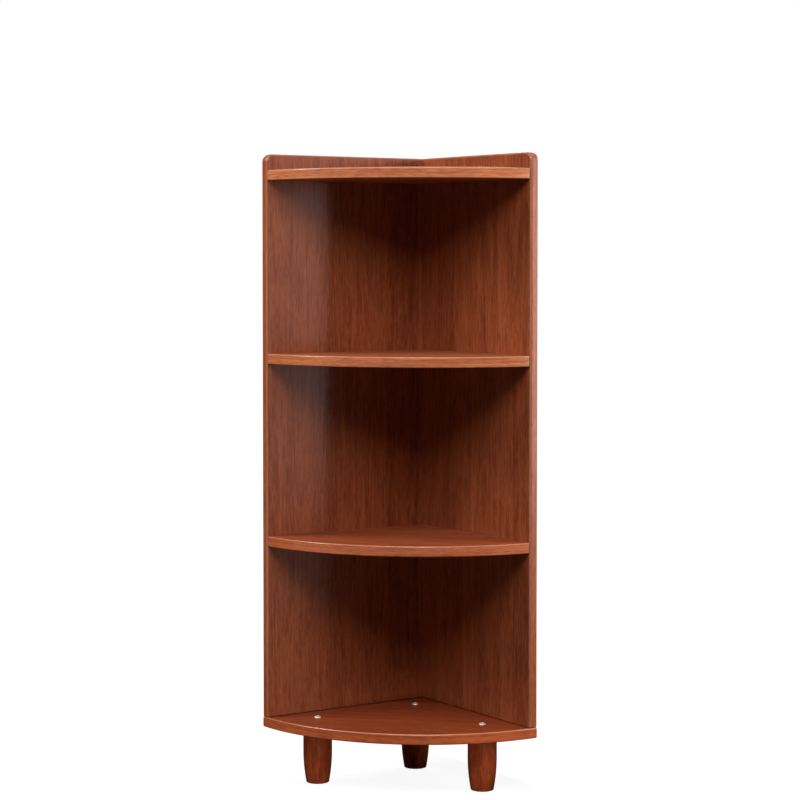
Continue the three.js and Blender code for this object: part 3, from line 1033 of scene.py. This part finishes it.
def mark_surface(piece, broad, joints, round_centre):
    """Stores three marks on each face corner, read off from the way its surface looks.

    narrow_edge is how far it has turned from the broad faces, which look along the axis broad. arris is how
    far it has turned from every plain face, and from a curved front about round_centre. joint is how
    straight it looks at a neighbouring board, in one of the directions in joints."""
    mesh = piece.data
    marks = {"narrow_edge": [], "arris": [], "joint": []}
    for corner, looking in enumerate(mesh.corner_normals):
        normal = looking.vector
        flat = max(abs(part) for part in normal)
        if round_centre:
            radial = mesh.vertices[mesh.loops[corner].vertex_index].co - round_centre
            radial.z = 0
            flat = max(flat, abs(normal.dot(radial.normalized())))
        worn_and_highlit = min(1.0, (1 - flat) / HALF_TURNED)
        marks["narrow_edge"].append(math.sqrt(max(0.0, 1 - normal[broad] ** 2)))
        marks["arris"].append(worn_and_highlit if normal.z > LOOKS_DOWN else worn_and_highlit * UNDERSIDE_SHARE)
        marks["joint"].append(max([0.0, *(normal.dot(way) for way in joints)]))
    for name, values in marks.items():
        mesh.attributes.new(name, "FLOAT", "CORNER").data.foreach_set("value", values)


def dress(piece, finish):
    """Gives a piece one finish and no other."""
    piece.data.materials.clear()
    piece.data.materials.append(finish)


def finish_board(piece, wood, node, broad, joints=(), round_centre=None):
    """Drills and shades a board, gives it its wood and puts it in the place of its node."""
    drill(piece, *cutters)
    smooth_by_angle(piece, BOARD_CREASE)
    weighted = piece.modifiers.new("flat faces stay flat", "WEIGHTED_NORMAL")
    weighted.keep_sharp = True
    weighted.weight = 100
    settle(piece)
    mark_surface(piece, broad, joints, round_centre)
    dress(piece, wood)
    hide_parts(node)
    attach(piece, "root")
    print(piece.name, len(piece.data.polygons), "faces")


print("cutters for the boards:", len(cutters))

# %% [markdown]
# ## Side panels
# Each panel is a tall board. The upper front corner is cut to a quarter circle, and then a router rounds
# both arrises up the front, round the corner and back along the top without a break. The back end stays
# square, because it stands in the corner. The foot is eased all round by a small chamfer, which leaves a
# fine groove over the bottom board.

# %% Make the two panels
PANEL_ARRIS = 4 * MM
PANEL_CORNER = 12 * MM
PANEL_FOOT_EASE = 1.2 * MM
CORNER_STEPS = 12


def panel_outline(depth, height):
    """Outline from the back foot round the front to the back top, and the sides that are rounded."""
    turn = arc((depth - PANEL_CORNER, height - PANEL_CORNER), PANEL_CORNER, 0, math.pi / 2, CORNER_STEPS)
    outline = [(0, 0), (depth, 0), *turn, (0, height)]
    return outline, range(1, len(outline) - 1)


def left_place(u, v, w):
    return Vector((left_low.x + w, left_high.y - u, left_low.z + v))


def right_place(u, v, w):
    return Vector((right_low.x + u, right_low.y + w, right_low.z + v))


panels = {
    "left_panel": (left_place, left_high.y - left_low.y, left_panel_wood, 0),
    "right_panel": (right_place, right_high.x - right_low.x, right_panel_wood, 1),
}
for node, (to_place, depth, wood, broad) in panels.items():
    outline, rounded = panel_outline(depth, PANEL_HEIGHT)
    blank = raise_board(
        node + "_blank", outline, rounded, to_place, PANEL_THICKNESS, PANEL_ARRIS, PANEL_FOOT_EASE
    )
    # The foot's chamfer looks down into the groove, so it gets the painted shade
    finish_board(blank, wood, node, broad, joints=[DOWNWARD])

# %% [markdown]
# ## Shelves and bottom board
# A shelf is a quarter disc about the back corner, cut back by the thickness of the panels. Its curved
# front and the two short corners beside the panels are rounded, and the straight sides that butt against
# the panels stay square. The bottom board is the full quarter disc and lies under both panels, so all its
# arrises are rounded. One outline with an inset draws both.

# %% Make the shelves and the bottom board
SHELF_ARRIS = 2 * MM
BASE_ARRIS = 2.2 * MM
FRONT_CORNER = 2.6 * MM
FRONT_STEPS = 96
FRONT_CORNER_STEPS = 8
LEVEL = 2  # the axis along which the broad faces look


def quarter_outline(radius, inset):
    """A quarter disc about the corner, from its back corner out along the left-hand side."""
    side = inset + FRONT_CORNER
    reach = math.sqrt((radius - FRONT_CORNER) ** 2 - side ** 2)
    lean = math.atan2(side, reach)
    left_corner = arc((side, -reach), FRONT_CORNER, -math.pi, lean - math.pi / 2, FRONT_CORNER_STEPS)
    front = arc((0, 0), radius, lean - math.pi / 2, -lean, FRONT_STEPS)
    right_corner = arc((reach, -side), FRONT_CORNER, -lean, math.pi / 2, FRONT_CORNER_STEPS)
    return [(inset, -inset), *left_corner, *front[1:-1], *right_corner]


def lying_at(height):
    return lambda u, v, w: Vector((CORNER.x + u, CORNER.y + v, height + w))


outline = quarter_outline(SIDE, PANEL_THICKNESS + SEAM)
rounded = range(1, len(outline) - 1)
for node, wood in shelf_woods.items():
    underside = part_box(node)[0].z
    blank = raise_board(
        node + "_blank", outline, rounded, lying_at(underside), SHELF_THICKNESS, SHELF_ARRIS
    )
    # The shelf ends look at the panels, so the gap there gets the painted shade
    finish_board(blank, wood, node, LEVEL, [LEFTWARD, BACKWARD], CORNER)

outline = quarter_outline(SIDE, 0)
blank = raise_board(
    "bottom_board_blank", outline, range(len(outline)), lying_at(base_low.z), BASE_THICKNESS, BASE_ARRIS
)
finish_board(blank, base_wood, "bottom_board", LEVEL, round_centre=CORNER)

# %% [markdown]
# ## Legs
# The legs are turned from solid wood. They are straight for the upper third and then draw in towards the
# foot on a slow curve, with a small ease at the bottom. The lathe tree turns them, as it turned the screws.
# Their grain runs upwards, and one stave holds a whole leg, because it was turned from a single piece.

# %% Turn the legs
LEG_STRAIGHT = 33 * MM
LEG_FOOT_RADIUS = 17.5 * MM
LEG_FOOT_EASE = 1.4 * MM
LEG_TAPER_STEPS = 24
LEG_EASE_STEPS = 5
LEG_SIDES = 96
LEG_STAVE = 0.9  # wider than any leg, so that one stave holds it
LEG_TONE = (1.00, 0.74, 0.58)
LEG_SHINE = 0.02
SLEEVE_RISE = 0.03 * MM  # height in which the bore widens to the insert's sleeve


def leg_stations(height, top_radius):
    """Heights and radii of a leg, from the floor up."""
    stations = []
    for i in range(LEG_EASE_STEPS):
        angle = math.pi / 2 * i / LEG_EASE_STEPS
        drawn = LEG_FOOT_EASE * (1 - math.sin(angle))
        stations.append((LEG_FOOT_EASE * (1 - math.cos(angle)), LEG_FOOT_RADIUS - drawn))
    taper = height - LEG_STRAIGHT - LEG_FOOT_EASE
    for i in range(LEG_TAPER_STEPS + 1):
        left = 1 - i / LEG_TAPER_STEPS
        drawn = (top_radius - LEG_FOOT_RADIUS) * left ** 2
        stations.append((LEG_FOOT_EASE + taper * (1 - left), top_radius - drawn))
    stations.append((height, top_radius))
    return stations


def leg_bore(height):
    """The hole for the insert and the bolt, from the bolt's tip up past the leg's top."""
    insert_low, insert_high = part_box(insert_nodes[0])
    bolt_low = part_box(bolt_nodes[0])[0]
    sleeve = (insert_high.x - insert_low.x) / 2 + HOLE_GAP
    shank = BOLT_SHANK + HOLE_GAP
    sleeve_end = insert_low.z - HOLE_GAP
    return [
        (bolt_low.z - HOLE_OVERRUN, shank),
        (sleeve_end, shank),
        (sleeve_end + SLEEVE_RISE, sleeve),
        (height + HOLE_OVERRUN, sleeve),
    ]


for turn, side in enumerate(("left", "right", "back")):
    node = side + "_leg"
    low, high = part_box(node)
    leg_wood = stained_wood(
        node + "_wood", UPWARD, OUT_RIGHT, 71 + 7 * turn, LEG_TONE, LEG_SHINE, stave_width=LEG_STAVE
    )
    stations = leg_stations(high.z, (high.x - low.x) / 2)
    leg = turned(node + "_turning", stations, LEG_SIDES, finish=leg_wood)
    bore = turned(node + "_bore", leg_bore(high.z), FASTENER_SIDES)
    drill(leg, bore)
    remove(bore)
    middle = (low + high) / 2
    for vertex in leg.data.vertices:
        vertex.co.x += middle.x
        vertex.co.y += middle.y
    smooth_by_angle(leg, BOARD_CREASE)
    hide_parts(node)
    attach(leg, "root")
    print(leg.name, len(leg.data.polygons), "faces")

remove(*cutters)

# %% [markdown]
# ## What stays hidden
# The dowels and the threaded inserts are inside the wood. They keep their simple shapes and get the finish
# of their stuff: bare beech, turned a little rough, and yellow zinc.

# %% Dress the hidden pieces
PALE_BEECH = (0.74, 0.53, 0.31, 1)
DARK_BEECH = (0.60, 0.38, 0.19, 1)
FLECK_SCALE = 900.0  # repeats per metre
BEECH_CLOUD_SCALE = 60.0

beech, bench = new_material("bare_beech")
fleck = bench.noise(bench.place(), 2.0, scale=FLECK_SCALE)
cloud = bench.noise(bench.place(), 2.0, scale=BEECH_CLOUD_SCALE)
tone = bench.ramp(fleck * 0.5 + cloud * 0.5, 0.3, 0.7)
bench.surface({
    "Base Color": bench.blend(tone, PALE_BEECH, DARK_BEECH),
    "Roughness": 0.8,
    "Normal": bench.bump(fleck, 0.3, 0.1 * MM),
})
for nodes, finish in ((dowel_nodes, beech), (insert_nodes, yellow_zinc)):
    for node in nodes:
        dress(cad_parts[node], finish)
print("hidden pieces:", len(dowel_nodes) + len(insert_nodes))
